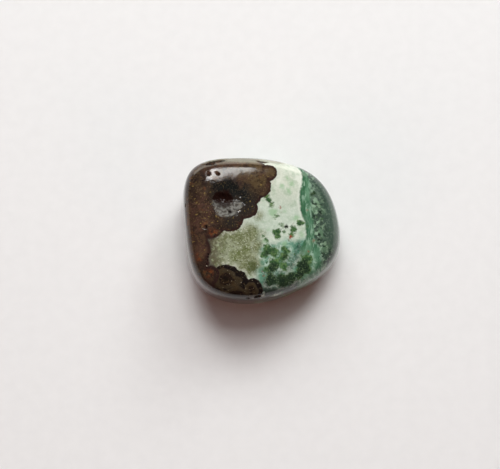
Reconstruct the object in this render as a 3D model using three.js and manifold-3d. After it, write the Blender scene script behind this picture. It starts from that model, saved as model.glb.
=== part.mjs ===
// A tumbled and polished sardonyx pebble, one piece of banded and mossy chalcedony.
// Millimetres, +Z up. It rests on its small flat spot at z = 0, with its long way along X.
import * as THREE from "three";
import { mergeVertices } from "three/addons/utils/BufferGeometryUtils.js";
import Module from "manifold-3d";

const wasm = await Module();
wasm.setup();

// The middle is the point that every distance below is measured from.
const MIDDLE = new THREE.Vector3(-0.16, -0.17, 3.5);

// Each worn side faces one way (turn from +X towards +Y, and lift above the level, in degrees)
// and lies a distance away from the middle.
const WALLS = [
  { side: "left end", turn: 184, lift: 4, away: 7.0 },
  { side: "back", turn: 98, lift: 8, away: 7.35 },
  { side: "back right", turn: 64, lift: 4, away: 7.6 },
  { side: "right end", turn: 8, lift: 8, away: 7.45 },
  { side: "front right", turn: -58, lift: 0, away: 6.6 },
  { side: "front", turn: -98, lift: -3, away: 7.15 },
  { side: "front left", turn: -134, lift: 0, away: 9.4 },
];
const CROWN = { side: "top, lower towards the right end", turn: 10, lift: 82, away: 3.6 };
const BELLY = { side: "underside", turn: 0, lift: -90, away: 3.55 };

// How tightly two worn sides meet: a high number gives a small round, a low one a wide round.
const WALL_BLEND = 5.2;
const CROWN_BLEND = 6.0;
const BELLY_BLEND = 2.6;

// Hollows that the tumbling left. Each lies at a turn and a lift. heading turns its long way within
// the surface. size is half its length and half its width at the surface, and its depth. bowl is
// the share of the cutter's half thickness that goes in: 1 for a steep pit, less for a dish.
const HOLLOWS = [
  { name: "dish", at: [143, 46], heading: 20, size: [1.85, 1.75, 0.32], bowl: 0.45 },
  { name: "hole in the dish", at: [144, 45], heading: 5, size: [1.0, 0.62, 0.62], bowl: 0.9 },
  { name: "pit in the dish", at: [157, 54], heading: 0, size: [0.2, 0.17, 0.42], bowl: 1 },
  { name: "round pit", at: [129, 33], heading: 0, size: [0.19, 0.18, 0.22], bowl: 1 },
  { name: "broken pit", at: [135, 31], heading: 30, size: [0.24, 0.2, 0.2], bowl: 1 },
  { name: "left pit", at: [184, 41], heading: 40, size: [0.22, 0.17, 0.18], bowl: 1 },
  { name: "long chip on the back", at: [124, 24], heading: 15, size: [1.25, 0.36, 0.3], bowl: 0.8 },
  { name: "side of the long chip", at: [129, 25], heading: 0, size: [0.7, 0.28, 0.24], bowl: 0.8 },
  { name: "thin chip on the back", at: [88, 25], heading: -3, size: [0.7, 0.2, 0.22], bowl: 1 },
  { name: "front pit", at: [-92, 24], heading: 12, size: [0.4, 0.2, 0.2], bowl: 1 },
  { name: "small front pit", at: [-99, 23], heading: 0, size: [0.18, 0.15, 0.15], bowl: 1 },
  { name: "notch at the left end", at: [165, 26], heading: 80, size: [0.24, 0.15, 0.14], bowl: 1 },
  { name: "low pit at the back", at: [108, -12], heading: 25, size: [0.45, 0.2, 0.2], bowl: 1 },
  { name: "low pit at the front", at: [-120, -22], heading: -30, size: [0.3, 0.22, 0.2], bowl: 1 },
  { name: "pit under the left end", at: [170, -34], heading: 60, size: [0.34, 0.2, 0.2], bowl: 1 },
];

const BODY_GRID = 24; // cells along each side of the cube that is rounded into the body
const CUTTER_DETAIL = { small: 1, large: 3 }; // how finely a cutter's ball is divided
const LARGE_CUTTER = 0.9; // a hollow with a longer half length takes the finer cutter
const PROBE = 0.002; // step, in radians, for the slope of the surface
const SAME_POINT = 1e-5; // corners closer than this are one
const GROUND_BLOCK = 20; // side of the block that cuts the resting spot flat

const degrees = THREE.MathUtils.degToRad;

// The unit vector that faces a turn and a lift.
function facing({ turn, lift }) {
  const level = Math.cos(degrees(lift));
  return new THREE.Vector3(
    level * Math.cos(degrees(turn)),
    level * Math.sin(degrees(turn)),
    Math.sin(degrees(lift)),
  );
}

// One over the distance at which a worn side stops a ray, or 0 if the ray leaves it behind.
function closeness(ray, side) {
  return Math.max(0, ray.dot(facing(side))) / side.away;
}

// Joins several closenesses into one, with a round where two are nearly alike.
function blend(values, tightness) {
  const sum = values.reduce((total, value) => total + value ** tightness, 0);
  return sum ** (1 / tightness);
}

// The distance from the middle to the worn surface along a unit vector.
function reach(ray) {
  const around = blend(WALLS.map((wall) => closeness(ray, wall)), WALL_BLEND);
  const crowned = blend([around, closeness(ray, CROWN)], CROWN_BLEND);
  return 1 / blend([crowned, closeness(ray, BELLY)], BELLY_BLEND);
}

// The point of the worn surface that lies along a unit vector from the middle.
function surfacePoint(ray) {
  return ray.clone().multiplyScalar(reach(ray)).add(MIDDLE);
}

// The way that the worn surface faces along a unit vector, and the two ways across it.
function surfaceAxes(ray) {
  const across = new THREE.Vector3(0, 0, 1).cross(ray).normalize();
  const upwards = ray.clone().cross(across);
  const stepped = (way, step) => surfacePoint(ray.clone().addScaledVector(way, step).normalize());
  const along = stepped(across, PROBE).sub(stepped(across, -PROBE));
  const rising = stepped(upwards, PROBE).sub(stepped(upwards, -PROBE));
  const normal = along.cross(rising).normalize();
  const first = new THREE.Vector3(1, 0, 0).addScaledVector(normal, -normal.x).normalize();
  const second = normal.clone().cross(first);
  return { normal, first, second };
}

// A closed solid from a geometry, with its shared vertices merged.
function solidOf(geometry) {
  const bare = geometry.clone();
  bare.deleteAttribute("normal");
  bare.deleteAttribute("uv");
  const merged = mergeVertices(bare, SAME_POINT);
  return new wasm.Manifold(
    new wasm.Mesh({
      numProp: 3,
      vertProperties: merged.attributes.position.array,
      triVerts: new Uint32Array(merged.index.array),
    }),
  );
}

// The geometry of a closed solid.
function geometryOf(solid) {
  const mesh = solid.getMesh();
  const geometry = new THREE.BufferGeometry();
  geometry.setAttribute("position", new THREE.BufferAttribute(mesh.vertProperties, mesh.numProp));
  geometry.setIndex(new THREE.BufferAttribute(mesh.triVerts, 1));
  geometry.computeVertexNormals();
  return geometry;
}

// The worn body: a cube of small cells, from -1 to 1, rounded and pushed out to the worn surface.
function wornBody() {
  const cube = new THREE.BoxGeometry(2, 2, 2, BODY_GRID, BODY_GRID, BODY_GRID);
  const corners = cube.attributes.position;
  const spread = (value) => Math.tan((value * Math.PI) / 4);
  for (let i = 0; i < corners.count; i += 1) {
    const ray = new THREE.Vector3().fromBufferAttribute(corners, i);
    ray.set(spread(ray.x), spread(ray.y), spread(ray.z)).normalize();
    corners.setXYZ(i, ...surfacePoint(ray).toArray());
  }
  return solidOf(cube);
}

// The squashed ball that cuts one hollow.
function hollowCutter({ at, heading, size, bowl }) {
  const [turn, lift] = at;
  const [long, wide, deep] = size;
  const ray = facing({ turn, lift });
  const { normal, first, second } = surfaceAxes(ray);
  const thickness = deep / bowl;
  const widening = 1 / Math.sqrt(1 - (1 - bowl) ** 2);
  const lengthways = first.clone().applyAxisAngle(normal, degrees(heading));
  const sideways = second.clone().applyAxisAngle(normal, degrees(heading));
  const place = surfacePoint(ray).addScaledVector(normal, thickness - deep);
  const pose = new THREE.Matrix4().makeBasis(lengthways, sideways, normal).setPosition(place);
  const detail = long > LARGE_CUTTER ? CUTTER_DETAIL.large : CUTTER_DETAIL.small;
  const ball = new THREE.IcosahedronGeometry(1, detail);
  ball.scale(long * widening, wide * widening, thickness);
  ball.applyMatrix4(pose);
  return solidOf(ball);
}

// The block under z = 0 that cuts the resting spot flat.
function groundBlock() {
  const block = new THREE.BoxGeometry(GROUND_BLOCK, GROUND_BLOCK, GROUND_BLOCK);
  block.translate(0, 0, -GROUND_BLOCK / 2);
  return solidOf(block);
}

// The pebble: the worn body less its hollows and less what lies under the resting spot.
function makePebble() {
  const cutters = [...HOLLOWS.map(hollowCutter), groundBlock()];
  const solid = cutters.reduce((body, cutter) => body.subtract(cutter), wornBody());
  const polishedStone = new THREE.MeshStandardMaterial({
    color: 0x7a7c66,
    roughness: 0.12,
    metalness: 0,
  });
  const pebble = new THREE.Mesh(geometryOf(solid), polishedStone);
  pebble.name = "pebble";
  return pebble;
}

const sardonyx = new THREE.Group();
sardonyx.add(makePebble());

export default sardonyx;
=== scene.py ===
import math
from collections import namedtuple
from types import SimpleNamespace

import bmesh
import bpy
import numpy as np
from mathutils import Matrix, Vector, noise


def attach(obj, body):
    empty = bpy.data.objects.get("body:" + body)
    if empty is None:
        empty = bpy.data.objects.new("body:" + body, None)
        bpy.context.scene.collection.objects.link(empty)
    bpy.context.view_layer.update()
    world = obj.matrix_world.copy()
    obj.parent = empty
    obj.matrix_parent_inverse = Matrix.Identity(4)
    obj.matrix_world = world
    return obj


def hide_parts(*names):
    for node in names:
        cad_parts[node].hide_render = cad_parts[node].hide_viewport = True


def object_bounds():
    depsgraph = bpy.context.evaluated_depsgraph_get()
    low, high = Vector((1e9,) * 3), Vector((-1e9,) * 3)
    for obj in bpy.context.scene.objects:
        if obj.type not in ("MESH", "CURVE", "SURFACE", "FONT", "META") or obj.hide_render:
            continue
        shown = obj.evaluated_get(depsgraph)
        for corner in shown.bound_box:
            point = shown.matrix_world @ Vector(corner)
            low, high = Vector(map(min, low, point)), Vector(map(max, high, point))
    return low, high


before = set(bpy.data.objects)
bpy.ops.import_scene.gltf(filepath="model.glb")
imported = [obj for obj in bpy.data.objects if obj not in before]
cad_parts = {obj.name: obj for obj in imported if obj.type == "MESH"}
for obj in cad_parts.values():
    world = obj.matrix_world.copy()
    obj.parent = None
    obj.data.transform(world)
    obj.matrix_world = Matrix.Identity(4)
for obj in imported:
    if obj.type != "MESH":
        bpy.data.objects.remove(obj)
CAD_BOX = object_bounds()

bl_info = {
    "name": "Sardonyx pebble",
    "version": (1, 0, 0),
    "blender": (4, 5, 0),
    "location": "3D View > Sidebar > Sardonyx",
    "description": "A tumbled pebble with brown agate lobes, a pale mossy middle and a dark green end",
    "category": "Add Mesh",
}

# The pebble's form, in millimetres. The middle is the point that every distance is measured from.
MM = 0.001
MIDDLE = np.array((-0.16, -0.17, 3.5))

# Each worn side: the way it faces (turn from +X towards +Y and lift above the level, in degrees)
# and how far away from the middle it lies.
Side = namedtuple("Side", "turn lift away")
WALLS = (
    Side(184, 4, 7.0),  # left end
    Side(98, 8, 7.35),  # back
    Side(64, 4, 7.6),  # back right
    Side(8, 8, 7.45),  # right end
    Side(-58, 0, 6.6),  # front right
    Side(-98, -3, 7.15),  # front
    Side(-134, 0, 9.4),  # front left
)
CROWN = Side(10, 82, 3.6)
BELLY = Side(0, -90, 3.55)

# How tightly two worn sides meet: a high number gives a small round, a low one a wide round.
WALL_BLEND = 5.2
CROWN_BLEND = 6.0
BELLY_BLEND = 2.6

# Hollows that the tumbling left: turn and lift, heading of the long way, half length, half width,
# depth, the share of the cutter's half thickness that goes in (bowl), how ragged the rim is, and
# how softly the rim rolls over.
Hollow = namedtuple("Hollow", "turn lift heading long wide deep bowl ragged rim")
HOLLOWS = {
    "dish": Hollow(143, 46, 20, 1.85, 1.75, 0.32, 0.45, 0.04, 0.10),
    "hole in the dish": Hollow(144, 45, 5, 1.0, 0.62, 0.62, 0.9, 0.10, 0.10),
    "pit in the dish": Hollow(157, 54, 0, 0.20, 0.17, 0.42, 1.0, 0.25, 0.02),
    "round pit": Hollow(129, 33, 0, 0.19, 0.18, 0.22, 1.0, 0.08, 0.01),
    "broken pit": Hollow(135, 31, 30, 0.24, 0.20, 0.20, 1.0, 0.35, 0.01),
    "left pit": Hollow(184, 41, 40, 0.22, 0.17, 0.18, 1.0, 0.30, 0.02),
    "long chip on the back": Hollow(124, 24, 15, 1.25, 0.36, 0.30, 0.8, 0.30, 0.02),
    "side of the long chip": Hollow(129, 25, 0, 0.70, 0.28, 0.24, 0.8, 0.30, 0.02),
    "thin chip on the back": Hollow(88, 25, -3, 0.70, 0.20, 0.22, 1.0, 0.30, 0.01),
    "front pit": Hollow(-92, 24, 12, 0.40, 0.20, 0.20, 1.0, 0.25, 0.02),
    "small front pit": Hollow(-99, 23, 0, 0.18, 0.15, 0.15, 1.0, 0.25, 0.01),
    "notch at the left end": Hollow(165, 26, 80, 0.24, 0.15, 0.14, 1.0, 0.25, 0.02),
    "low pit at the back": Hollow(108, -12, 25, 0.45, 0.20, 0.20, 1.0, 0.25, 0.02),
    "low pit at the front": Hollow(-120, -22, -30, 0.30, 0.22, 0.20, 1.0, 0.25, 0.02),
    "pit under the left end": Hollow(170, -34, 60, 0.34, 0.20, 0.20, 1.0, 0.25, 0.02),
}
PROBE = 0.002  # step, in radians, for the slope of the surface
FAR = 1000.0  # further than any cutter
REFINE_MARGIN = 1.5  # how far round a hollow the mesh is made finer
SMALL_HOLLOW = 1.1  # a hollow with a shorter half length is made finer once more
WAVES = ((0.33, 0.035), (1.1, 0.008))  # the worn surface's unevenness: waves per mm, height in mm
RAGGED_SCALE = 2.6  # ragged teeth per mm of a hollow's rim
FINER_TEETH = 2.1  # how many finer teeth lie along each of those, half as high
SNAP = 0.0001  # corners this near the ground lie on it

# The pattern. Marks are balls in the stone, each with its place on the top (x, y), how far below
# the top it lies and its radius, in millimetres. The first are the lobes of the brown end.
BROWN_LOBES = (
    (0.60, 4.75, 0.0, 0.82),
    (-0.20, 3.40, 0.0, 1.08),
    (-1.50, 1.50, 0.0, 1.17),
    (-2.90, 0.40, 0.0, 1.30),
    (-4.60, -0.40, 0.0, 1.15),
    (-5.75, -2.50, 0.0, 1.15),
    (-5.90, -3.80, 0.0, 1.18),
    (-5.30, -5.30, 0.0, 1.10),
    (-4.52, -4.80, 0.0, 0.74),
    (-4.50, 2.50, 0.0, 3.50),
    (-1.30, 4.90, 0.0, 1.60),
    (-3.60, 5.60, 0.0, 2.40),
    (-0.80, 4.40, 0.0, 1.55),
    (-1.60, 3.00, 0.0, 1.75),
    (-2.90, 1.60, 0.0, 1.70),
)
BROWN_END = -4.85  # left of this, in x, all is brown
BROWN_BLEND = 0.12  # how widely the lobes run into the brown end
MARK_BLEND = 0.06  # how widely two marks run together

# The ringed agate at the front left, and the colours of its rings from the outline inwards, each
# with its share of the ringed depth in millimetres.
AGATE_LOBES = (
    (-3.15, -5.20, 0.0, 1.34),
    (-2.00, -5.15, 0.0, 0.72),
    (-0.90, -6.05, 0.0, 1.02),
    (-4.20, -6.30, 0.0, 1.30),
    (-2.40, -7.40, 0.0, 2.00),
)
RINGED_DEPTH = 1.6
AGATE_STOPS = (
    (0.00, "#322b28"),
    (0.05, "#171312"),
    (0.20, "#191413"),
    (0.28, "#3b3326"),
    (0.42, "#352c1f"),
    (0.50, "#1f1613"),
    (0.62, "#241b15"),
    (0.74, "#14100e"),
    (1.00, "#1f1612"),
)

# The pale middle: its sugary part with olive patches, the green haze with its white veins and dark
# parts, and the dark patches along the front.
SUGAR_PATCHES = (
    (-2.90, -2.60, 0.0, 2.30),
    (-1.30, -3.60, 0.0, 1.35),
    (-1.15, -1.15, 0.0, 1.12),
    (-0.30, 0.70, 0.0, 0.45),
    (-0.30, -2.30, 0.0, 0.85),
    (-0.35, -3.50, 0.0, 0.75),
    (0.00, -1.00, 0.0, 0.38),
)
DEEP_OLIVE_PATCHES = ((-0.75, -4.15, 0.1, 0.52), (-0.95, -3.70, 0.1, 0.30))
OLIVE_PATCHES = (
    (-0.90, -4.05, 0.1, 0.42),
    (-2.40, -3.00, 0.1, 0.50),
    (-1.30, -2.40, 0.1, 0.40),
    (-0.60, -0.70, 0.1, 0.20),
    (0.55, -0.10, 0.1, 0.14),
    (-3.60, -2.60, 0.1, 0.35),
)
HAZE_PATCHES = (
    (2.30, -2.60, 0.0, 1.05),
    (3.80, -2.45, 0.0, 1.00),
    (4.00, -3.80, 0.0, 1.35),
    (1.30, -3.40, 0.0, 1.30),
    (0.70, -2.70, 0.0, 0.80),
    (0.90, -4.90, 0.0, 1.25),
    (2.60, -4.90, 0.0, 1.60),
)
WHITE_VEINS = (
    (1.45, -2.10, 0.1, 0.10),
    (1.62, -2.30, 0.1, 0.09),
    (2.35, -2.00, 0.1, 0.10),
    (2.62, -2.40, 0.1, 0.12),
    (2.80, -2.85, 0.1, 0.12),
    (2.76, -3.20, 0.1, 0.15),
    (2.55, -3.62, 0.1, 0.11),
    (0.33, -2.05, 0.1, 0.10),
    (0.05, -2.45, 0.1, 0.14),
    (0.16, -3.25, 0.1, 0.12),
    (0.40, -3.75, 0.1, 0.10),
    (4.45, -2.62, 0.1, 0.10),
    (4.75, -3.30, 0.1, 0.13),
    (4.65, -4.00, 0.1, 0.15),
    (4.25, -4.60, 0.1, 0.14),
    (5.40, -3.10, 0.1, 0.10),
    (5.45, -3.70, 0.1, 0.10),
)
FRONT_PATCHES = (
    (0.90, -6.60, 0.3, 1.15),
    (2.30, -6.30, 0.3, 1.15),
    (3.50, -5.80, 0.3, 1.00),
    (4.60, -5.10, 0.3, 0.75),
)
DARK_HAZE = (
    (3.10, -2.95, 0.1, 0.55),
    (3.30, -2.20, 0.1, 0.32),
    (0.30, -4.30, 0.1, 0.35),
    (2.60, -4.10, 0.1, 0.75),
    (1.40, -4.90, 0.1, 0.95),
    (3.20, -4.60, 0.1, 0.95),
    (0.80, -5.70, 0.2, 0.90),
    (2.40, -5.60, 0.2, 0.95),
    (1.80, -3.40, 0.1, 0.50),
)

# The moss: where it lies so deep that it is near black, its clear spots and its faint ones. Then the
# iron-red and the black specks.
DEEP_PATCHES = (
    (0.75, -5.20, 0.2, 0.62),
    (1.80, -5.25, 0.2, 0.62),
    (2.65, -5.00, 0.2, 0.56),
    (3.45, -4.40, 0.2, 0.50),
    (3.75, -3.70, 0.1, 0.50),
    (1.00, -4.10, 0.1, 0.50),
    (0.55, -2.75, 0.1, 0.22),
    (2.05, -3.00, 0.1, 0.22),
    (4.66, 2.95, 0.1, 0.32),
)
MOSS_SPOTS = (
    (0.44, 2.42, 0.1, 0.24),
    (0.62, 2.08, 0.1, 0.25),
    (0.84, 1.74, 0.1, 0.19),
    (1.34, 0.65, 0.1, 0.19),
    (1.84, -0.10, 0.1, 0.16),
    (3.40, 0.05, 0.1, 0.33),
    (2.78, -0.42, 0.1, 0.28),
    (2.74, -0.85, 0.1, 0.27),
    (1.30, -0.78, 0.1, 0.39),
    (1.50, -1.18, 0.1, 0.32),
    (0.05, -1.15, 0.1, 0.15),
    (0.42, -1.55, 0.1, 0.23),
    (2.00, -0.66, 0.1, 0.18),
    (0.55, -2.45, 0.1, 0.46),
    (1.05, -2.62, 0.1, 0.44),
    (0.28, -2.90, 0.1, 0.30),
    (2.10, -2.50, 0.1, 0.37),
    (1.90, -3.10, 0.1, 0.46),
    (1.15, -3.62, 0.1, 0.53),
    (0.75, -4.18, 0.1, 0.48),
    (1.96, -3.95, 0.1, 0.39),
    (0.77, -5.10, 0.2, 0.53),
    (1.80, -5.15, 0.2, 0.57),
    (2.65, -4.95, 0.2, 0.53),
    (4.00, -3.25, 0.1, 0.57),
    (3.72, -3.90, 0.1, 0.64),
    (3.40, -4.40, 0.2, 0.53),
    (4.66, 2.95, 0.1, 0.27),
)
PALE_MOSS_SPOTS = (
    (1.84, 3.52, 0.1, 0.28),
    (2.72, 3.78, 0.1, 0.30),
    (2.45, 3.08, 0.1, 0.30),
    (2.34, 4.27, 0.1, 0.16),
    (0.98, 1.05, 0.1, 0.42),
    (2.05, 1.15, 0.1, 0.20),
    (3.10, 0.55, 0.1, 0.34),
    (3.62, -1.01, 0.1, 0.26),
    (2.00, -1.85, 0.1, 0.30),
    (0.60, -0.60, 0.1, 0.16),
    (0.30, -1.60, 0.1, 0.24),
)
IRON_SPOTS = (
    (1.67, 1.53, 0.1, 0.09),
    (1.78, 1.05, 0.1, 0.06),
    (2.80, 0.00, 0.1, 0.06),
    (2.57, -1.19, 0.1, 0.18),
    (2.44, -1.42, 0.1, 0.10),
    (4.19, -2.48, 0.1, 0.12),
    (0.14, -4.80, 0.1, 0.09),
    (4.66, -1.50, 0.1, 0.10),
    (2.85, -3.68, 0.1, 0.07),
    (4.05, 1.33, 0.1, 0.10),
)
BLACK_SPOTS = (
    (2.24, -0.27, 0.1, 0.17),
    (4.50, -1.35, 0.1, 0.09),
    (1.64, 1.62, 0.1, 0.05),
    (1.90, -0.50, 0.1, 0.07),
)

# Marks in the brown end: yellow spots, rust patches, and a crack at the left with its painted glints,
# small painted highlights on its edge.
GOLD_SPOTS = ((-5.87, 1.62, 0.1, 0.06), (-4.59, 2.77, 0.1, 0.05), (-2.35, -6.00, 0.3, 0.12))
RUST_PATCHES = (
    (-4.35, -1.15, 0.1, 0.34),
    (-2.24, 0.10, 0.1, 0.24),
    (-5.70, -3.20, 0.1, 0.28),
    (-4.75, -4.60, 0.1, 0.26),
)
CRACK = (
    (-4.72, -2.70, 0.1, 0.06),
    (-4.76, -2.95, 0.1, 0.10),
    (-4.78, -3.20, 0.1, 0.11),
    (-4.80, -3.50, 0.1, 0.09),
    (-4.88, -3.80, 0.1, 0.08),
    (-4.90, -4.10, 0.1, 0.06),
)
CRACK_PAINTED_GLINTS = ((-4.66, -3.05, 0.1, 0.05), (-4.86, -4.02, 0.1, 0.06), (-4.62, -2.62, 0.1, 0.04))

# The teal band's two edges, as x for each y along the pebble, in millimetres, and the ranges of both.
BAND_Y = (-7.0, 7.0)
BAND_X = (0.0, 7.0)
BAND_LEFT = (
    (-7.0, 3.2),
    (-4.5, 3.3),
    (-3.3, 3.4),
    (-2.25, 3.5),
    (-1.75, 3.75),
    (-1.2, 3.95),
    (-0.1, 3.92),
    (0.7, 3.66),
    (1.4, 3.5),
    (2.6, 3.43),
    (4.0, 3.7),
    (4.9, 3.66),
    (5.6, 3.4),
    (7.0, 2.8),
)
BAND_RIGHT = (
    (-7.0, 4.9),
    (-3.6, 5.35),
    (-2.4, 5.30),
    (-1.4, 4.82),
    (0.4, 4.62),
    (1.8, 4.5),
    (2.9, 4.42),
    (4.0, 4.36),
    (5.0, 4.1),
    (5.8, 3.7),
    (7.0, 3.1),
)
MOTTLED_STRIP = 1.25  # how far the mottled strip reaches past the band, in mm

# The dish: its round, the painted shade over and round it, the deeper painted shade on its back wall, and
# its rough slope.
DISH = ((-3.21, 2.11, 0.0, 1.75),)
PAINTED_SHADE_ROUND_DISH = ((-3.10, 2.30, 0.0, 1.55), (-1.80, 1.80, 0.0, 1.35), (-2.60, 0.40, 0.0, 0.90))
DISH_SHADE = (
    (-2.00, 3.10, 0.0, 0.85),
    (-3.00, 3.20, 0.0, 0.90),
    (-3.95, 3.15, 0.0, 0.60),
    (-1.70, 2.40, 0.0, 0.55),
)
DISH_SLOPE = (
    (-3.15, 0.95, 0.0, 0.90),
    (-4.00, 1.75, 0.0, 0.36),
    (-2.25, 1.55, 0.0, 0.40),
    (-3.70, 1.30, 0.0, 0.50),
)

# Pattern sizes are given as grains per millimetre. Chalcedony's own grains and a tumbler's scratches
# are thousandths of a millimetre, so the finest are drawn 0.06 to 0.12 mm wide, which still shows.
RIPPLES_PER_MM = 3.0
SCRATCHES_PER_MM = (1.5, 16.0, 6.0)
GRIT_PER_MM = 9.0

# How the stone takes the light. Heights are in metres.
CHALCEDONY_IOR = 1.54
RIPPLE_HEIGHT = 0.00002
SCRATCH_HEIGHT = 0.00001
GRIT_HEIGHT = 0.00013
GRIT_ROUGHNESS = 0.55
POLISH_SHINE = 0.5
PIT_SHINE = 0.08  # little light comes back out of a small pit

# The paper's fibres are too fine to show, so they are drawn as clumps about 1 mm wide.
FIBRES_PER_METRE = 900.0
FELT_HEIGHT = 0.00004

# The stage, in metres. The photograph's frame is 500 by 469 pixels.
PHOTO_WIDTH = 500
FOCAL_PIXELS = 1261
SENSOR = 36.0  # in mm, as a camera takes it
NEAREST_SEEN = 0.005
LOOKED_AT = Vector((-1.06, 0.45, 0.0)) * MM
FLOOR_HALF = 1.0
LIGHT_DISTANCE = 0.40
ROOM_TINT = "#f2988e"  # what little comes back from the room is warm
ROOM_STRENGTH = 0.02

# The soft light, as panels: turn, lift, width and height, share of the power, and tint. The window
# is a broad one behind the pebble, and little comes back from the room in front.
SOFT_PANELS = (
    ("high window", 85, 66, (0.14, 0.14), 0.27, "#fcffff"),
    ("overhead", 90, 84, (0.18, 0.16), 0.07, "#fcffff"),
    ("right of the window", 60, 38, (0.13, 0.20), 0.25, "#fcffff"),
    ("low window", 85, 48, (0.14, 0.12), 0.09, "#fcffff"),
    ("left of the window", 112, 44, (0.13, 0.22), 0.19, "#fcffff"),
    ("back of the room, left", 216, 23, (0.22, 0.14), 0.085, "#ffbab0"),
    ("back of the room, right", 318, 24, (0.14, 0.12), 0.045, "#ffb0a6"),
)
# What the polish mirrors: the window's panes, and the light walls beside and below it. Each has its
# turn, lift, width and height, power in watts, and tint.
GLOSS_PANELS = (
    ("left pane", 88, 50, (0.048, 0.15), 0.31, "#ffffff"),
    ("right pane", 77, 50, (0.052, 0.15), 0.24, "#f2f6f4"),
    ("light wall", 95, 11, (0.60, 0.15), 0.75, "#f6f2e2"),
    ("left wall", 175, 5, (0.50, 0.08), 0.10, "#f6f2e2"),
)


def linear(code, alpha=1.0):
    """An sRGB hex code as a linear colour."""
    channels = [int(code[i : i + 2], 16) / 255 for i in (1, 3, 5)]
    return (*[c / 12.92 if c <= 0.04045 else ((c + 0.055) / 1.055) ** 2.4 for c in channels], alpha)


def colour(name, code, description):
    """A colour property with its default as a hex code."""
    return bpy.props.FloatVectorProperty(
        name=name,
        description=description,
        subtype="COLOR",
        size=4,
        min=0.0,
        max=1.0,
        default=linear(code),
    )


class SardonyxPebbleSettings(bpy.types.PropertyGroup):
    """Sizes and colours of the pebble."""

    fineness: bpy.props.IntProperty(
        name="Fineness",
        description="Cuts along each side of the cube that is rounded into the pebble",
        default=87,
        min=16,
        max=110,
    )
    polish: bpy.props.FloatProperty(
        name="Polish roughness",
        description="Roughness of the tumble-polished surface",
        default=0.07,
        min=0.0,
        max=1.0,
        subtype="FACTOR",
    )
    dark_brown: colour("Dark brown", "#251d19", "Darkest part of the brown end")
    red_brown: colour("Red brown", "#48332a", "Main colour of the brown end")
    ochre: colour("Ochre", "#584830", "Golden patches and grains in the brown end")
    rust: colour("Rust", "#6e3c20", "Iron-stained patches near the brown edge")
    maroon: colour("Maroon", "#2b1b1a", "Thin line along the brown edge")
    cream: colour("Cream", "#c5c9b8", "Pale middle")
    white: colour("White", "#dde0d4", "Whitest veins of the pale middle")
    sugar: colour("Sugar green", "#6b7051", "Granular grey-green part of the pale middle")
    olive: colour("Olive", "#5f683e", "Olive patches in the granular part")
    moss: colour("Moss", "#48693f", "Light part of the moss spots")
    dark_moss: colour("Dark moss", "#26402b", "Dark part of the moss spots")
    pale_moss: colour("Pale moss", "#8fb089", "Faint moss spots")
    iron: colour("Iron red", "#84402d", "Red specks")
    teal: colour("Teal", "#5c8569", "Band at the right of the pale middle")
    deep_teal: colour("Deep teal", "#315a3f", "Streaks of the teal band")
    dark_end: colour("Dark end", "#45554b", "Dark green right end")
    black_green: colour("Black green", "#1e2a21", "Blotches beside the dark end")


class SardonyxStageSettings(bpy.types.PropertyGroup):
    """Camera, floor and lights."""

    camera_tilt: bpy.props.FloatProperty(
        name="Camera tilt",
        description="How far the camera leans from straight above",
        default=math.radians(12),
        subtype="ANGLE",
    )
    camera_distance: bpy.props.FloatProperty(
        name="Camera distance",
        description="From the camera to the paper",
        default=0.120,
        unit="LENGTH",
    )
    window_power: bpy.props.FloatProperty(
        name="Window power",
        description="Power of the window light, in watts",
        default=2.55,
        min=0.0,
        unit="POWER",
    )
    floor: colour("Floor", "#e7e6e5", "Pale floor")


def facing(turn, lift):
    """The unit vector that faces a turn and a lift, both in degrees."""
    level = math.cos(math.radians(lift))
    return np.array(
        (
            level * math.cos(math.radians(turn)),
            level * math.sin(math.radians(turn)),
            math.sin(math.radians(lift)),
        )
    )


def closeness(rays, side):
    """One over the distance at which a worn side stops each ray, or 0 if the ray leaves it behind."""
    return np.maximum(0, rays @ facing(side.turn, side.lift)) / side.away


def blend(values, tightness):
    """Joins several closenesses into one, with a round where two are nearly alike."""
    return sum(value**tightness for value in values) ** (1 / tightness)


def reach(rays):
    """The distance from the middle to the worn surface along each unit vector."""
    around = blend([closeness(rays, wall) for wall in WALLS], WALL_BLEND)
    crowned = blend([around, closeness(rays, CROWN)], CROWN_BLEND)
    return 1 / blend([crowned, closeness(rays, BELLY)], BELLY_BLEND)


def worn_points(rays):
    """The points of the worn surface along the unit vectors from the middle."""
    return rays * reach(rays)[:, None] + MIDDLE


def unit(vectors):
    """The vectors at length one."""
    return vectors / np.linalg.norm(vectors, axis=-1, keepdims=True)


def surface_axes(ray):
    """The lengthways, sideways and outward axes of the worn surface where a ray meets it."""
    across = unit(np.cross((0, 0, 1), ray))
    upwards = np.cross(ray, across)
    steps = unit(np.array([ray + s * way * PROBE for way in (across, upwards) for s in (1, -1)]))
    east, west, high, low = worn_points(steps)
    normal = unit(np.cross(east - west, high - low))
    first = unit(np.array((1.0, 0, 0)) - normal[0] * normal)
    return np.array((first, np.cross(normal, first), normal))


def hollow_cutter(hollow):
    """The squashed ball that cuts a hollow: its place, its three axes as rows and its half sizes."""
    ray = facing(hollow.turn, hollow.lift)
    first, second, normal = surface_axes(ray)
    lean = math.radians(hollow.heading)
    lengthways = first * math.cos(lean) + second * math.sin(lean)
    sideways = np.cross(normal, lengthways)
    thickness = hollow.deep / hollow.bowl
    widening = 1 / math.sqrt(1 - (1 - hollow.bowl) ** 2)
    place = worn_points(ray[None, :])[0] + normal * (thickness - hollow.deep)
    half_sizes = (hollow.long * widening, hollow.wide * widening, thickness)
    return place, np.array((lengthways, sideways, normal)), half_sizes


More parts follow.
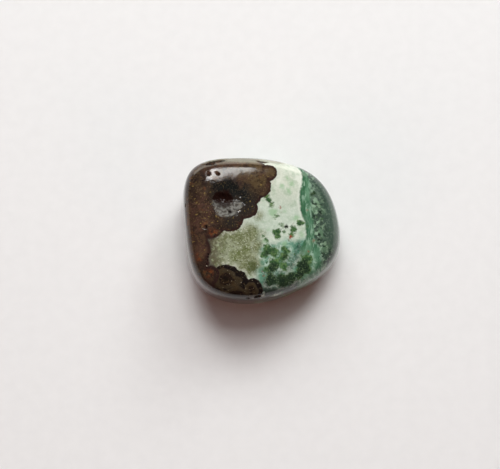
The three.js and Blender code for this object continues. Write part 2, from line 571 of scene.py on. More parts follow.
def cutter_entry(rays, hollow, ragged):
    """How far from the middle each ray meets a hollow's cutter. Rays that miss it get FAR."""
    place, axes, half_sizes = hollow_cutter(hollow)
    ways = rays @ axes.T / half_sizes
    start = (MIDDLE - place) @ axes.T / half_sizes
    swell = 1 + hollow.ragged * ragged
    a = (ways**2).sum(axis=1)
    b = ways @ start
    c = start @ start - swell**2
    inside = b * b - a * c
    met = (inside > 0) & (b < 0)
    return np.where(met, (-b - np.sqrt(np.maximum(inside, 0))) / a, FAR)


def soft_lower(high, low, softness):
    """The lower of two distances, rolled over softly where they are nearly alike."""
    share = np.clip(0.5 + 0.5 * (low - high) / softness, 0, 1)
    return low * (1 - share) + high * share - softness * share * (1 - share)


def unevenness(points, per_mm, seed):
    """A smooth random value from about -1 to 1 at each point."""
    shift = Vector((seed, seed * 2.3, seed * 3.7))
    return np.array([noise.noise(Vector(p) * per_mm + shift) for p in points])


def worn_cube(cuts):
    """A cube of small cells whose corners lie on the unit ball."""
    mesh = bmesh.new()
    bmesh.ops.create_cube(mesh, size=2)
    bmesh.ops.subdivide_edges(mesh, edges=mesh.edges[:], cuts=cuts, use_grid_fill=True)
    for corner in mesh.verts:
        corner.co = Vector(math.tan(c * math.pi / 4) for c in corner.co).normalized()
    return mesh


def refine(mesh, hollows):
    """Divides once the edges that lie round the hollows, and puts the new corners on the unit ball."""
    corners = np.array([corner.co for corner in mesh.verts])
    near = np.zeros(len(corners), bool)
    for hollow in hollows:
        ray = facing(hollow.turn, hollow.lift)
        spread = REFINE_MARGIN * hollow.long / reach(ray[None, :])[0]
        near |= corners @ ray > math.cos(spread)
    mesh.verts.index_update()
    chosen = [e for e in mesh.edges if near[e.verts[0].index] and near[e.verts[1].index]]
    bmesh.ops.subdivide_edges(mesh, edges=chosen, cuts=1, use_grid_fill=True)
    for corner in mesh.verts:
        corner.co.normalize()


def press_to_form(mesh):
    """Pushes the unit ball out to the worn, pitted surface, and returns how deep each corner is sunk."""
    rays = np.array([corner.co for corner in mesh.verts])
    skin = worn_points(rays)
    worn = reach(rays)
    for seed, (per_mm, height) in enumerate(WAVES, 1):
        worn = worn + height * (unevenness(skin, per_mm, seed) - 1)
    ragged = unevenness(skin, RAGGED_SCALE, 9.0)
    ragged = ragged + 0.5 * unevenness(skin, FINER_TEETH * RAGGED_SCALE, 5.0)
    cut = worn.copy()
    for hollow in HOLLOWS.values():
        cut = soft_lower(cut, cutter_entry(rays, hollow, ragged), hollow.rim)
    for corner, point in zip(mesh.verts, rays * cut[:, None] + MIDDLE):
        corner.co = point
    return worn - cut


def rest_on_ground(mesh):
    """Cuts the resting spot flat at z = 0 and closes it."""
    everything = mesh.verts[:] + mesh.edges[:] + mesh.faces[:]
    cut = bmesh.ops.bisect_plane(
        mesh, geom=everything, dist=SNAP, plane_co=(0, 0, 0), plane_no=(0, 0, 1), clear_inner=True
    )
    rim = [part for part in cut["geom_cut"] if isinstance(part, bmesh.types.BMEdge)]
    bmesh.ops.edgeloop_fill(mesh, edges=rim)


def check_closed(mesh):
    """Stops the script if the surface isn't one closed skin."""
    if not mesh.faces or any(not edge.is_manifold for edge in mesh.edges):
        raise RuntimeError("The pebble's surface isn't closed.")


def pebble_mesh(cuts):
    """The pebble's fine surface, with a sunk attribute that tells the hollows from the polish."""
    mesh = worn_cube(cuts)
    refine(mesh, HOLLOWS.values())
    refine(mesh, [hollow for hollow in HOLLOWS.values() if hollow.long < SMALL_HOLLOW])
    sunk_layer = mesh.verts.layers.float.new("sunk")
    for corner, depth in zip(mesh.verts, press_to_form(mesh)):
        corner[sunk_layer] = depth
    rest_on_ground(mesh)
    check_closed(mesh)
    bmesh.ops.recalc_face_normals(mesh, faces=mesh.faces[:])
    bmesh.ops.scale(mesh, vec=(MM, MM, MM), verts=mesh.verts[:])
    for face in mesh.faces:
        face.smooth = True
    data = bpy.data.meshes.new("pebble_surface")
    mesh.to_mesh(data)
    mesh.free()
    return data


def add(tree, kind, *feeds, **settings):
    """Adds a shader node, sets it up, and feeds its live inputs in order with values or other nodes.

    A feed of None leaves that input as it is. A dict as the last feed gives inputs by name.
    """
    node = tree.nodes.new("ShaderNode" + kind)
    for setting, value in settings.items():
        setattr(node, setting, value)
    live = [socket for socket in node.inputs if socket.enabled]
    named = feeds[-1] if feeds and isinstance(feeds[-1], dict) else {}
    pairs = list(zip(live, [f for f in feeds if not isinstance(f, dict)]))
    pairs += [(node.inputs[name], value) for name, value in named.items()]
    for socket, feed in pairs:
        if isinstance(feed, bpy.types.Node):
            feed = next(out for out in feed.outputs if out.enabled)
        if isinstance(feed, bpy.types.NodeSocket):
            tree.links.new(feed, socket)
        elif feed is not None:
            socket.default_value = feed
    return node


def ramp(tree, value, start, end, low=0.0, high=1.0):
    """A value's smooth way from low at the start to high at the end, held beyond them."""
    return add(tree, "MapRange", value, start, end, low, high, interpolation_type="SMOOTHSTEP")


def coats(tree, ground, *layers):
    """Lays colours over a ground one after another. Each layer is the share it covers and its colour."""
    for share, over in layers:
        ground = add(tree, "Mix", share, ground, over, data_type="RGBA")
    return ground


def both(tree, *shares):
    """The product of several shares."""
    product = shares[0]
    for share in shares[1:]:
        product = add(tree, "Math", product, share, operation="MULTIPLY")
    return product


def moved(tree, places, *steps):
    """Places moved by several steps."""
    for step in steps:
        places = add(tree, "VectorMath", places, step, operation="ADD")
    return places


def nearest(tree, places, marks):
    """How far each point is outside the nearest of the marks, in mm. It is below 0 inside them."""
    so_far = None
    for x, y, depth, radius in marks:
        apart = add(tree, "VectorMath", places, (x, y, depth), operation="DISTANCE")
        outside = add(tree, "Math", apart, radius, operation="SUBTRACT")
        if so_far is None:
            so_far = outside
        else:
            so_far = add(tree, "Math", so_far, outside, MARK_BLEND, operation="SMOOTH_MIN")
    return so_far


def covered(tree, places, marks, outer, inner, most=1.0):
    """How much of each point the marks cover: none from outer mm outside them, most from inner mm on."""
    return ramp(tree, nearest(tree, places, marks), outer, inner, 0.0, most)


def speckle(tree, places, per_mm, low, high, detail=2.0):
    """Random grains, so many to a mm: 0 below the low mark of the noise, and 1 above the high mark."""
    grain = add(tree, "TexNoise", places, {"Scale": per_mm, "Detail": detail})
    return ramp(tree, grain, low, high)


def small_dots(tree, places, per_mm, common, largest):
    """Random round dots: the share of cells that hold one, and the largest radius as a share of a cell."""
    cells = add(tree, "TexVoronoi", places, {"Scale": per_mm})
    luck = add(tree, "SeparateColor", cells.outputs["Color"])
    radius = add(tree, "MapRange", luck.outputs[0], 1.0 - common, 1.0, 0.0, largest)
    inside = add(tree, "Math", radius, cells.outputs["Distance"], operation="SUBTRACT")
    return ramp(tree, inside, -0.05, 0.06)


def stray(tree, places, per_mm, far, detail):
    """Random steps of up to about a quarter of far each way, in mm."""
    steps = add(tree, "TexNoise", places, {"Scale": per_mm, "Detail": detail, "Roughness": 0.6})
    return add(
        tree, "VectorMath", steps.outputs["Color"], (far,) * 3, (-far / 2,) * 3, operation="MULTIPLY_ADD"
    )


def flattened(tree, places, depth, share):
    """The x and y of the places, with a share of the depth below the top as the third number."""
    parts = add(tree, "SeparateXYZ", places)
    down = add(tree, "Math", depth, share, operation="MULTIPLY")
    return add(tree, "CombineXYZ", parts.outputs["X"], parts.outputs["Y"], down)


def granular(tree, places, per_mm, share):
    """Places pulled towards the middles of random grains, so that a mark there breaks up into grains."""
    grains = add(tree, "TexVoronoi", places, {"Scale": per_mm})
    return add(tree, "Mix", share, places, grains.outputs["Position"], data_type="VECTOR")


def depth_below_top(tree, place):
    """How far below the crown's plane each point lies, in mm."""
    outward = tuple(facing(CROWN.turn, CROWN.lift))
    from_middle = add(tree, "VectorMath", place, tuple(MIDDLE), operation="SUBTRACT")
    height = add(tree, "VectorMath", from_middle, outward, operation="DOT_PRODUCT")
    return add(tree, "Math", CROWN.away, height, operation="SUBTRACT")


def deep_stray(tree, place, depth):
    """Steps that grow below the top, so that the sides and the underside don't copy the top."""
    below = add(tree, "MapRange", depth, 0.5, 7.0, 0.0, 2.6)
    steps = stray(tree, place, 0.22, 4.4, 2.0)
    return add(tree, "VectorMath", steps, {"Scale": below}, operation="SCALE")


def past_edge(tree, across, along, points):
    """How far to the right of a band's edge each point lies, in mm. The edge is a curve through points."""
    share_along = add(tree, "MapRange", along, *BAND_Y, 0.0, 1.0)
    curve = add(tree, "FloatCurve", 1.0, share_along)
    line = curve.mapping.curves[0]
    shares = [
        ((y - BAND_Y[0]) / (BAND_Y[1] - BAND_Y[0]), (x - BAND_X[0]) / (BAND_X[1] - BAND_X[0]))
        for y, x in points
    ]
    line.points[0].location = shares[0]
    line.points[1].location = shares[-1]
    for share in shares[1:-1]:
        line.points.new(*share)
    curve.mapping.update()
    edge = add(tree, "MapRange", curve, 0.0, 1.0, *BAND_X)
    return add(tree, "Math", across, edge, operation="SUBTRACT")


def stone_places(tree):
    """The places in the stone that the patterns read, in mm: as they are, strayed, and in grains."""
    object_place = add(tree, "TexCoord").outputs["Object"]
    place = add(tree, "VectorMath", object_place, (1 / MM,) * 3, operation="MULTIPLY")
    depth = depth_below_top(tree, place)
    downward = deep_stray(tree, place, depth)

    # The edges of large patches stray gently, those of small marks more, and the moss branches out.
    slow, quick = stray(tree, place, 1.5, 0.34, 4.0), stray(tree, place, 5.0, 0.14, 2.0)
    even = moved(tree, place, downward, slow, quick)
    slow, quick = stray(tree, place, 2.0, 0.42, 5.0), stray(tree, place, 5.5, 0.42, 3.0)
    rough = moved(tree, place, downward, slow, quick)
    slow, quick = stray(tree, place, 1.2, 0.95, 3.0), stray(tree, place, 5.0, 0.30, 3.0)
    branching = moved(tree, even, slow, quick)

    lobes = flattened(tree, even, depth, 0.22)
    parts = add(tree, "SeparateXYZ", lobes)
    across, along = parts.outputs["X"], parts.outputs["Y"]
    return SimpleNamespace(
        place=place,
        depth=depth,
        even=even,
        rough=rough,
        lobes=lobes,
        x=across,
        y=along,
        blots=flattened(tree, rough, depth, 0.3),
        grains=granular(tree, flattened(tree, rough, depth, 0.5), 4.2, 0.28),
        moss=granular(tree, flattened(tree, branching, depth, 0.5), 7.0, 0.10),
        past_left=past_edge(tree, across, along, BAND_LEFT),
        past_right=past_edge(tree, across, along, BAND_RIGHT),
    )


def brown_jasper(tree, looks, at, edge):
    """Iron-stained chalcedony: mottled red brown with ochre grains, rust by the edge and a maroon line,
    with painted shade in and round the dish.
    """
    clouds = speckle(tree, at.place, 0.45, 0.38, 0.60, 4.0)
    mottle = speckle(tree, at.place, 1.9, 0.46, 0.66, 5.0)
    dark_mottle = speckle(tree, at.place, 2.7, 0.50, 0.64, 4.0)
    grit = speckle(tree, at.place, 8.0, 0.52, 0.72)
    gold_grit = speckle(tree, at.place, 5.2, 0.63, 0.72)
    fleck_clouds = speckle(tree, moved(tree, at.place, (3.0, 9.0, 2.0)), 0.8, 0.47, 0.62, 3.0)
    toward_edge = both(tree, ramp(tree, at.x, -3.4, -1.0), ramp(tree, at.y, 2.2, 3.8))
    olive_clouds = both(tree, speckle(tree, at.place, 0.9, 0.36, 0.58, 3.0), toward_edge, 0.75)
    rust_clouds = both(tree, speckle(tree, at.place, 1.3, 0.54, 0.66, 4.0), 0.45)
    rust_patches = both(
        tree,
        covered(tree, at.grains, RUST_PATCHES, 0.45, -0.25),
        speckle(tree, at.place, 2.4, 0.40, 0.62, 4.0),
    )
    dish_shade = both(
        tree,
        covered(tree, at.lobes, DISH_SHADE, 0.45, -0.45),
        speckle(tree, at.place, 1.6, 0.30, 0.52, 4.0),
    )
    return coats(
        tree,
        looks.red_brown,
        (both(tree, clouds, 0.85), looks.dark_brown),
        (olive_clouds, looks.ochre),
        (both(tree, mottle, 0.40), looks.ochre),
        (both(tree, rust_clouds, mottle), looks.rust),
        (both(tree, rust_patches, 0.85), looks.rust),
        (both(tree, dark_mottle, 0.65), looks.dark_brown),
        # Painted shade: the dish and the brown round it are darkened where shade falls in the hollow, near
        # black on its back wall.
        (covered(tree, at.lobes, PAINTED_SHADE_ROUND_DISH, 0.55, -0.45, 0.88), linear("#272421")),
        (both(tree, dish_shade, 0.85), linear("#151a1a")),
        (both(tree, grit, 0.22), linear("#7d6a50")),
        (both(tree, gold_grit, fleck_clouds, 0.60), linear("#967f42")),
        (both(tree, covered(tree, at.grains, GOLD_SPOTS, 0.05, -0.05), 0.7), linear("#9a8742")),
        (both(tree, ramp(tree, edge, -0.36, -0.08), 0.8), looks.maroon),
    )


def agate_rings(tree, at, edge):
    """Fortification agate: thin rings, near black, olive brown and maroon, that follow its outline."""
    uneven = add(tree, "TexNoise", at.place, {"Scale": 1.1, "Detail": 4.0})
    across = add(tree, "Math", uneven, -0.5, operation="ADD")
    ring_edge = add(tree, "Math", across, 0.9, edge, operation="MULTIPLY_ADD")
    rings = add(tree, "ValToRGB", add(tree, "MapRange", ring_edge, 0.0, -RINGED_DEPTH, 0.0, 1.0))
    stops = rings.color_ramp.elements
    while len(stops) < len(AGATE_STOPS):
        stops.new(0.5)
    for stop, (position, code) in zip(stops, AGATE_STOPS):
        stop.position = position
        stop.color = linear(code)
    mottle = speckle(tree, at.place, 1.4, 0.50, 0.64, 4.0)
    grit = speckle(tree, at.place, 6.0, 0.55, 0.72, 3.0)
    painted_glints = speckle(tree, at.place, 6.5, 0.70, 0.74, 1.0)
    return coats(
        tree,
        rings,
        (both(tree, mottle, 0.32), linear("#44341f")),
        (both(tree, grit, 0.25), linear("#6a5a3c")),
        # Painted glints: tiny painted highlights in the agate.
        (both(tree, painted_glints, 0.6), linear("#a49c84")),
    )


def milky_cream(tree, looks, at):
    """Milky chalcedony: smooth cream with white clouds, and greener lower down."""
    milk = speckle(tree, at.place, 0.8, 0.36, 0.62, 4.0)
    green_milk = speckle(tree, at.place, 1.5, 0.48, 0.66, 5.0)
    fine = speckle(tree, at.place, 7.0, 0.45, 0.65, 3.0)
    downward = ramp(tree, at.y, 4.5, 0.6)
    return coats(
        tree,
        looks.cream,
        (both(tree, milk, 0.5), looks.white),
        (both(tree, downward, 0.55), linear("#a3b8a6")),
        (both(tree, green_milk, 0.50), linear("#93a98c")),
        (both(tree, fine, 0.30), looks.white),
    )


def sugary_olive(tree, looks, at):
    """Granular quartz: grey-green sugar with olive patches, pale grains, painted glints (tiny painted
    highlights) and a darker left edge.
    """
    coarse = speckle(tree, at.place, 0.75, 0.40, 0.58, 5.0)
    white_clouds = speckle(tree, moved(tree, at.place, (5.0, 2.0, 1.0)), 0.7, 0.46, 0.62, 5.0)
    middle = speckle(tree, at.place, 3.2, 0.46, 0.60, 4.0)
    grit = speckle(tree, at.place, 6.5, 0.53, 0.64, 3.0)
    dark_grit = speckle(tree, at.place, 5.0, 0.57, 0.67, 3.0)
    painted_glints = speckle(tree, at.place, 5.5, 0.64, 0.70)
    left_shade = ramp(tree, at.x, -2.9, -4.3, 0.0, 0.85)
    rough_shade = speckle(tree, at.place, 3.0, 0.34, 0.56, 4.0)
    return coats(
        tree,
        looks.sugar,
        (both(tree, coarse, 0.65), linear("#686e4b")),
        (both(tree, white_clouds, 0.60), linear("#a3a992")),
        (both(tree, covered(tree, at.grains, OLIVE_PATCHES, 0.30, -0.20), 0.75), looks.olive),
        (both(tree, middle, 0.48), linear("#8d9474")),
        (both(tree, dark_grit, 0.55), linear("#3d3b29")),
        (both(tree, grit, 0.48), linear("#aab095")),
        # Painted glints: tiny painted highlights on the sugary grains.
        (both(tree, painted_glints, 0.60), linear("#d3d7c5")),
        (covered(tree, at.grains, DEEP_OLIVE_PATCHES, 0.28, -0.35, 0.75), linear("#434b2c")),
        (both(tree, left_shade, rough_shade), linear("#544d3d")),
    )


def pale_chalcedony(tree, looks, at, edge):
    """The pale middle: milky cream, sugary olive lower down, and a whitish rim along the brown edge."""
    rim = both(tree, ramp(tree, edge, 0.40, 0.03), ramp(tree, at.x, -4.5, -3.0, 0.15, 0.60))
    rim_grit = speckle(tree, at.place, 2.4, 0.40, 0.60, 5.0)
    return coats(
        tree,
        milky_cream(tree, looks, at),
        (covered(tree, at.grains, SUGAR_PATCHES, 0.45, -0.50), sugary_olive(tree, looks, at)),
        (both(tree, rim, rim_grit), linear("#c2c4b6")),
    )


def green_haze(tree, at):
    """Chalcedony stained by chlorite: blue-green haze with a whitish vein network and darker wisps."""
    slanted = add(tree, "VectorMath", at.place, (1.3, 0.8, 0.8), operation="MULTIPLY")
    wavy = moved(tree, slanted, stray(tree, at.place, 1.6, 1.3, 4.0))
    veins = add(tree, "TexVoronoi", wavy, {"Scale": 1.1}, feature="DISTANCE_TO_EDGE")
    broken = speckle(tree, at.place, 0.9, 0.38, 0.60, 3.0)
    wisps = speckle(tree, slanted, 1.1, 0.44, 0.60, 5.0)
    deep = speckle(tree, at.place, 1.7, 0.50, 0.62, 5.0)
    grit = speckle(tree, at.place, 6.0, 0.46, 0.66, 3.0)
    return coats(
        tree,
        linear("#4c8069"),
        (both(tree, wisps, 0.7), linear("#3b735b")),
        (both(tree, deep, 0.75), linear("#2b4232")),
        (both(tree, grit, 0.26), linear("#8da994")),
        (both(tree, ramp(tree, veins.outputs["Distance"], 0.15, 0.01), broken, 0.62), linear("#a9c4b4")),
    )


def moss_green(tree, looks, at, apart):
    """Moss inclusions: grains of leaf green, darker towards the middle, near black where they lie deep."""
    light_grains = speckle(tree, at.place, 2.6, 0.48, 0.66, 5.0)
    dark_grains = speckle(tree, at.place, 3.1, 0.46, 0.60, 4.0)
    fine_dark = speckle(tree, at.place, 6.5, 0.50, 0.66, 3.0)
    fine_light = speckle(tree, moved(tree, at.place, (7.0, 3.0, 1.0)), 6.5, 0.52, 0.68, 3.0)
    return coats(
        tree,
        looks.moss,
        (both(tree, ramp(tree, apart, -0.05, -0.34), 0.7), looks.dark_moss),
        (both(tree, dark_grains, 0.55), looks.dark_moss),
        (both(tree, light_grains, 0.38), linear("#7d9a5c")),
        (both(tree, covered(tree, at.moss, DEEP_PATCHES, 0.22, -0.20), 0.86), looks.black_green),
        (both(tree, fine_dark, 0.40), looks.black_green),
        (both(tree, fine_light, 0.30), linear("#86a070")),
    )


def teal_band(tree, looks, at):
    """Chlorite-stained chalcedony: sea-green streaks along the band, deeper towards its left edge."""
    wavy = moved(tree, at.place, stray(tree, at.place, 0.9, 0.7, 3.0))
    stretched = add(tree, "VectorMath", wavy, (2.6, 0.6, 0.8), operation="MULTIPLY")
    streaks = speckle(tree, stretched, 1.1, 0.40, 0.60, 4.0)
    pale_streaks = speckle(tree, stretched, 1.7, 0.52, 0.66, 4.0)
    patches = speckle(tree, at.place, 2.0, 0.46, 0.62, 4.0)
    return coats(
        tree,
        looks.teal,
        (both(tree, ramp(tree, at.past_left, 0.62, 0.10), 0.85), looks.deep_teal),
        (both(tree, streaks, 0.75), looks.deep_teal),
        (both(tree, patches, 0.45), linear("#4b7050")),
        (both(tree, pale_streaks, 0.65), linear("#94b19a")),
    )


def green_end(tree, looks, at):
    """Moss-filled chalcedony: a strip of black-green and pale flecks, then dark green thinning to grey."""
    across_strip = ramp(tree, at.past_right, MOTTLED_STRIP + 0.35, MOTTLED_STRIP - 0.55)
    in_strip = both(tree, across_strip, ramp(tree, at.y, 3.4, 1.8, 0.25, 1.0))
    strayed = moved(tree, at.place, stray(tree, at.place, 3.0, 0.24, 2.0))
    blotches = speckle(tree, strayed, 1.9, 0.46, 0.58, 3.0)
    flecks = speckle(tree, moved(tree, strayed, (4.0, 1.0, 6.0)), 2.6, 0.50, 0.64, 3.0)
    clusters = speckle(tree, moved(tree, strayed, (2.0, 8.0, 3.0)), 1.4, 0.50, 0.64, 4.0)
    near_band = ramp(tree, at.past_right, 0.75, 0.20)
    clouds = speckle(tree, at.place, 0.6, 0.40, 0.65, 3.0)
    grit = speckle(tree, at.place, 5.0, 0.50, 0.70, 3.0)
    thin = ramp(tree, at.past_right, 1.2, 3.2)
    return coats(
        tree,
        looks.dark_end,
        (both(tree, clouds, 0.5), linear("#3c5043")),
        (both(tree, thin, 0.75), linear("#6b7d6e")),
        (both(tree, in_strip, 0.30), looks.black_green),
        (both(tree, blotches, in_strip, 0.80), looks.black_green),
        (both(tree, clusters, in_strip, 0.55), linear("#6d8f6f")),
        (both(tree, flecks, in_strip, 0.75), linear("#7f9a7c")),
        (both(tree, flecks, near_band, 0.50), linear("#9dbaa0")),
        (both(tree, grit, 0.22), linear("#8a9e88")),
    )


def haze_layers(tree, at, haze, low_down):
    """The haze over the pale middle and here and there low down, its dark parts and the dark front."""
    stained = green_haze(tree, at)
    wild_haze = both(tree, speckle(tree, at.place, 0.35, 0.44, 0.54, 4.0), low_down)
    dark_haze = both(
        tree,
        covered(tree, at.blots, DARK_HAZE, 0.35, -0.35),
        speckle(tree, at.place, 1.5, 0.34, 0.58, 5.0),
    )
    front = both(
        tree,
        covered(tree, at.lobes, FRONT_PATCHES, 0.5, -0.4),
        speckle(tree, at.place, 2.2, 0.28, 0.52, 4.0),
    )
    return (
        (haze, stained),
        (both(tree, wild_haze, 0.8), stained),
        (both(tree, dark_haze, 0.86), linear("#274738")),
        (both(tree, front, 0.95), linear("#212b25")),
    )


def band_layers(tree, looks, at):
    """The teal band with the white line along it, the dark green end, and the white veins near them."""
    white_line = both(
        tree,
        ramp(tree, at.past_left, -0.35, -0.05),
        ramp(tree, at.past_left, 0.10, -0.02),
        ramp(tree, at.y, 0.2, 1.4),
        0.5,
    )
    veins = both(
        tree,
        covered(tree, at.moss, WHITE_VEINS, 0.16, -0.10),
        speckle(tree, at.place, 2.6, 0.36, 0.54, 4.0),
    )
    return (
        (white_line, looks.white),
        (ramp(tree, at.past_left, -0.14, 0.08), teal_band(tree, looks, at)),
        (ramp(tree, at.past_right, -0.16, 0.14), green_end(tree, looks, at)),
        (both(tree, veins, 0.60), linear("#b0c8b8")),
    )


def moss_layers(tree, looks, at, haze, low_down):
    """The moss spots with their pale halos, the random moss dots, and the black and the iron specks."""
    apart = nearest(tree, at.moss, MOSS_SPOTS)
    green = moss_green(tree, looks, at, apart)
    halo = both(
        tree,
        ramp(tree, apart, 0.36, 0.06, 0.0, 0.34),
        ramp(tree, at.past_left, 0.5, -0.2),
        speckle(tree, at.rough, 1.8, 0.36, 0.58, 4.0),
    )
    pale_middle = both(tree, ramp(tree, at.x, 0.4, 1.2), ramp(tree, at.y, 2.0, 0.8), 0.8)
    mossy = add(tree, "Math", haze, pale_middle, operation="MAXIMUM")
    dots = both(tree, small_dots(tree, at.rough, 2.4, 0.34, 0.36), mossy)
    red_dots = both(tree, small_dots(tree, at.rough, 1.7, 0.05, 0.16), mossy)
    wild_moss = both(tree, speckle(tree, at.place, 0.9, 0.52, 0.58, 5.0), low_down)
    return (
        (both(tree, ramp(tree, apart, 0.75, 0.15, 0.0, 0.30), 0.30), linear("#a8bfa6")),
        (halo, looks.white),
        (covered(tree, at.grains, PALE_MOSS_SPOTS, 0.14, -0.22, 0.75), looks.pale_moss),
        (both(tree, dots, 0.8), green),
        (wild_moss, green),
        (ramp(tree, apart, 0.13, -0.11), green),
        (covered(tree, at.grains, BLACK_SPOTS, 0.07, -0.10), linear("#252a21")),
        (both(tree, red_dots, 0.45), looks.iron),
        (covered(tree, at.grains, IRON_SPOTS, 0.08, -0.12), looks.iron),
    )


def brown_layers(tree, looks, at, brown_edge, agate_edge):
    """The ringed agate, the brown end, a pale painted reflection along the back rim, and the crack at the
    left with its painted glints.
    """
    edge_softness = ramp(tree, at.x, -3.7, -4.5, 0.03, 0.34)
    painted_rim_reflection = both(
        tree,
        ramp(tree, add(tree, "SeparateXYZ", at.even).outputs["Y"], 5.62, 5.92),
        ramp(tree, at.depth, 2.9, 1.9),
        ramp(tree, at.x, 2.5, 1.5),
    )
    return (
        (ramp(tree, agate_edge, 0.03, -0.04), agate_rings(tree, at, agate_edge)),
        (ramp(tree, brown_edge, edge_softness, -0.04), brown_jasper(tree, looks, at, brown_edge)),
        # Painted reflection: a pale grey band on the back rim, where the rim mirrors the paper.
        (both(tree, painted_rim_reflection, 0.75), linear("#8f8b79")),
        (covered(tree, at.lobes, CRACK, 0.03, -0.04), linear("#120e0c")),
        # Painted glints: small painted highlights along the crack's edge.
        (covered(tree, at.lobes, CRACK_PAINTED_GLINTS, 0.03, -0.03), linear("#b0a694")),
    )


def hollow_shares(tree, at):
    """The dish's rough slope and the small pits, where the stone is unpolished, and the floor of the
    dish's hole.
    """
    sunk = add(tree, "Attribute", attribute_name="sunk").outputs["Fac"]
    dish_apart = nearest(tree, at.lobes, DISH)
    slope = both(
        tree,
        ramp(tree, sunk, 0.004, 0.06),
        covered(tree, at.blots, DISH_SLOPE, 0.14, -0.12),
        ramp(tree, dish_apart, 0.40, 0.05),
    )
    hole = ramp(tree, sunk, 0.31, 0.42)
    pits = both(
        tree,
        add(tree, "MapRange", sunk, 0.04, 0.12, 0.0, 1.0),
        ramp(tree, dish_apart, 0.0, 0.3),
    )
    return slope, hole, pits


def hollow_layers(tree, at, slope, hole, pits):
    """Grey grit with painted light on the dish's slope, near black in its hole, and dark with rusty grains
    in the pits.
    """
    slope_grain = speckle(tree, at.place, 4.6, 0.38, 0.58, 5.0)
    slope_share = add(tree, "MapRange", slope_grain, 0.0, 1.0, 0.14, 1.0)
    pit_grit = speckle(tree, at.place, 3.5, 0.45, 0.60, 3.0)
    return (
        # Partly painted light: the slope that faces the window is made pale grey, over its real unpolished
        # grit.
        (both(tree, slope, slope_share), linear("#7b7a74")),
        (both(tree, hole, 0.88), linear("#1e0d0a")),
        (both(tree, pits, 0.88), linear("#1d1411")),
        (both(tree, pits, pit_grit, 0.24), linear("#8a5f4a")),
    )


def tumbled_polish(tree, looks, at, body, slope, pits):
    """The tumbler's gloss with its faint ripples and scratches, matt and gritty in the hollows."""
    unpolished = add(tree, "Math", slope, pits, operation="MAXIMUM")
    dull = both(tree, speckle(tree, at.place, 1.2, 0.45, 0.70, 4.0), 0.06)
    polish = add(tree, "Math", dull, looks.polish, operation="ADD")
    scratch_places = add(tree, "VectorMath", at.place, SCRATCHES_PER_MM, operation="MULTIPLY")
    ripples = add(tree, "TexNoise", at.place, {"Scale": RIPPLES_PER_MM, "Detail": 3.0})
    scratches = add(tree, "TexNoise", scratch_places, {"Scale": 1.0, "Detail": 2.0})
    grit = add(tree, "TexNoise", at.place, {"Scale": GRIT_PER_MM, "Detail": 4.0, "Roughness": 0.7})
    normal = None
    for height, strength, relief in (
        (RIPPLE_HEIGHT, 0.25, ripples),
        (SCRATCH_HEIGHT, 0.30, scratches),
        (GRIT_HEIGHT, 0.9, both(tree, grit, unpolished)),
    ):
        feeds = {"Strength": strength, "Distance": height, "Height": relief, "Normal": normal}
        normal = add(tree, "Bump", feeds)
    return add(
        tree,
        "BsdfPrincipled",
        {
            "Base Color": body,
            "Roughness": add(tree, "MapRange", unpolished, 0.0, 1.0, polish, GRIT_ROUGHNESS),
            "Normal": normal,
            "IOR": CHALCEDONY_IOR,
            "Specular IOR Level": add(tree, "MapRange", pits, 0.0, 1.0, POLISH_SHINE, PIT_SHINE),
        },
    )


def empty_material(name):
    """A material with no nodes yet."""
    material = bpy.data.materials.new(name)
    material.use_nodes = True
    material.node_tree.nodes.clear()
    return material


def polished_chalcedony(looks):
    """Tumble-polished chalcedony: a wet gloss with a sharp window, over colour that lies in the stone,
    with some painted shade, painted glints and a painted reflection in it.
    """
    material = empty_material("polished_chalcedony")
    tree = material.node_tree
    at = stone_places(tree)
    left_end = add(tree, "Math", at.x, BROWN_END, operation="SUBTRACT")
    brown_lobes = nearest(tree, at.lobes, BROWN_LOBES)
    brown_edge = add(tree, "Math", brown_lobes, left_end, BROWN_BLEND, operation="SMOOTH_MIN")
    agate_edge = nearest(tree, at.lobes, AGATE_LOBES)
    either_edge = add(tree, "Math", brown_edge, agate_edge, operation="MINIMUM")
    haze = covered(tree, at.grains, HAZE_PATCHES, 0.45, -0.25)
    low_down = ramp(tree, at.depth, 1.0, 2.2)
    slope, hole, pits = hollow_shares(tree, at)
    body = coats(
        tree,
        pale_chalcedony(tree, looks, at, either_edge),
        *haze_layers(tree, at, haze, low_down),
        *band_layers(tree, looks, at),
        *moss_layers(tree, looks, at, haze, low_down),
        *brown_layers(tree, looks, at, brown_edge, agate_edge),
        *hollow_layers(tree, at, slope, hole, pits),
    )
    add(tree, "OutputMaterial", tumbled_polish(tree, looks, at, body, slope, pits))
    return material


def paper(stage):
    """Matt white paper. It gives an even pale floor with no gloss of its own."""
    material = empty_material("matt_paper")
    tree = material.node_tree
    object_place = add(tree, "TexCoord").outputs["Object"]
    fibres = add(tree, "TexNoise", object_place, {"Scale": FIBRES_PER_METRE, "Detail": 3.0})
    tone = add(tree, "MapRange", fibres, 0.3, 0.7, 0.0, 0.35)
    tint = coats(tree, stage.floor, (tone, linear("#dfdedd")))
    felt = add(tree, "Bump", {"Strength": 0.08, "Distance": FELT_HEIGHT, "Height": fibres})
    surface = add(tree, "BsdfPrincipled", {"Base Color": tint, "Roughness": 0.9, "Normal": felt})
    add(tree, "OutputMaterial", surface)
    return material


def put_in_scene(name, data):
    """Makes an object for the data and shows it in the scene."""
    thing = bpy.data.objects.new(name, data)
    bpy.context.scene.collection.objects.link(thing)
    return thing


def aim(thing, turn, lift, distance, centre):
    """Puts a light or camera at a turn and lift from a centre, looking at it."""
    way = Vector(facing(turn, lift))
    thing.location = centre + way * distance
    thing.rotation_mode = "QUATERNION"
    thing.rotation_quaternion = way.to_track_quat("Z", "Y")


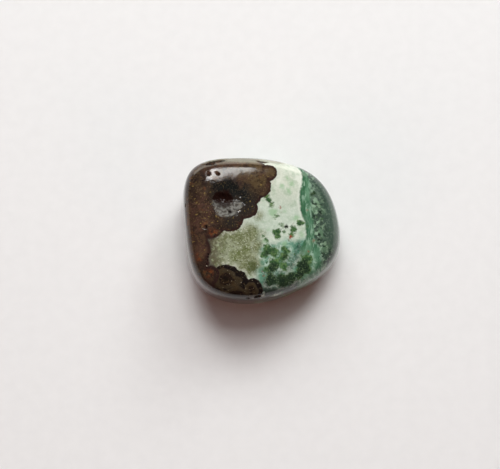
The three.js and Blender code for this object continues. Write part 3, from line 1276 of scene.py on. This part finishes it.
def panel_light(name, turn, lift, size, power, tint):
    """A soft rectangular light that faces the pebble."""
    lamp = bpy.data.lights.new(name, "AREA")
    lamp.shape = "RECTANGLE"
    lamp.size, lamp.size_y = size
    lamp.energy = power
    lamp.color = linear(tint)[:3]
    thing = put_in_scene(name, lamp)
    aim(thing, turn, lift, LIGHT_DISTANCE, Vector((0, 0, 0)))
    return thing


class SARDONYX_OT_pebble(bpy.types.Operator):
    """Make the tumbled pebble, with its hollows and its polished chalcedony"""

    bl_idname = "sardonyx.pebble"
    bl_label = "Pebble"
    bl_options = {"REGISTER", "UNDO"}

    def execute(self, context):
        looks = context.scene.sardonyx_pebble
        pebble = put_in_scene("polished_pebble", pebble_mesh(looks.fineness))
        pebble.data.materials.append(polished_chalcedony(looks))
        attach(pebble, "root")
        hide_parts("pebble")
        return {"FINISHED"}


class SARDONYX_OT_stage(bpy.types.Operator):
    """Make the pale floor, the soft lights and the camera"""

    bl_idname = "sardonyx.stage"
    bl_label = "Stage"
    bl_options = {"REGISTER", "UNDO"}

    def execute(self, context):
        stage = context.scene.sardonyx_stage
        self.make_floor(stage)
        self.make_camera(context, stage)
        self.make_lights(context, stage)
        return {"FINISHED"}

    def make_floor(self, stage):
        """A wide sheet of paper under the pebble."""
        sheet = bmesh.new()
        bmesh.ops.create_grid(sheet, x_segments=1, y_segments=1, size=FLOOR_HALF)
        data = bpy.data.meshes.new("floor")
        sheet.to_mesh(data)
        sheet.free()
        floor = put_in_scene("floor", data)
        floor.data.materials.append(paper(stage))

    def make_camera(self, context, stage):
        """The camera, at the photograph's steep angle."""
        data = bpy.data.cameras.new("camera")
        data.sensor_width = SENSOR
        data.lens = SENSOR * FOCAL_PIXELS / PHOTO_WIDTH
        data.clip_start = NEAREST_SEEN
        camera = put_in_scene("camera", data)
        lift = 90 - math.degrees(stage.camera_tilt)
        aim(camera, -90, lift, stage.camera_distance, LOOKED_AT)
        if camera.location.z <= CAD_BOX[1][2] + NEAREST_SEEN:
            raise RuntimeError("The camera isn't above the pebble.")
        context.scene.camera = camera

    def make_lights(self, context, stage):
        """The soft light that makes the shadow, the cards that the polish mirrors, and the room."""
        for name, turn, lift, size, share, tint in SOFT_PANELS:
            panel = panel_light(name, turn, lift, size, share * stage.window_power, tint)
            panel.visible_glossy = False
        for name, turn, lift, size, power, tint in GLOSS_PANELS:
            card = panel_light(name, turn, lift, size, power, tint)
            card.visible_diffuse = False
        world = bpy.data.worlds.new("room")
        world.use_nodes = True
        room = world.node_tree.nodes["Background"]
        room.inputs["Color"].default_value = linear(ROOM_TINT)
        room.inputs["Strength"].default_value = ROOM_STRENGTH
        context.scene.world = world
        context.scene.view_settings.view_transform = "Standard"


class SARDONYX_PT_panel(bpy.types.Panel):
    """Lists the sardonyx pebble's pieces and settings"""

    bl_idname = "SARDONYX_PT_panel"
    bl_label = "Sardonyx pebble"
    bl_space_type = "VIEW_3D"
    bl_region_type = "UI"
    bl_category = "Sardonyx"

    def draw(self, context):
        looks = context.scene.sardonyx_pebble
        stage = context.scene.sardonyx_stage
        for operator, settings in ((SARDONYX_OT_pebble, looks), (SARDONYX_OT_stage, stage)):
            box = self.layout.box()
            box.operator(operator.bl_idname)
            for name in settings.bl_rna.properties.keys():
                if name not in ("rna_type", "name"):
                    box.prop(settings, name)


CLASSES = (
    SardonyxPebbleSettings,
    SardonyxStageSettings,
    SARDONYX_OT_pebble,
    SARDONYX_OT_stage,
    SARDONYX_PT_panel,
)


def register():
    """Makes the classes and their settings known to Blender."""
    for cls in CLASSES:
        bpy.utils.register_class(cls)
    bpy.types.Scene.sardonyx_pebble = bpy.props.PointerProperty(type=SardonyxPebbleSettings)
    bpy.types.Scene.sardonyx_stage = bpy.props.PointerProperty(type=SardonyxStageSettings)


def unregister():
    """Takes the settings and the classes away again."""
    del bpy.types.Scene.sardonyx_stage
    del bpy.types.Scene.sardonyx_pebble
    for cls in reversed(CLASSES):
        bpy.utils.unregister_class(cls)


def main():
    """Makes the stage and the pebble."""
    register()
    bpy.ops.sardonyx.stage()
    bpy.ops.sardonyx.pebble()


if __name__ == "__main__":
    main()
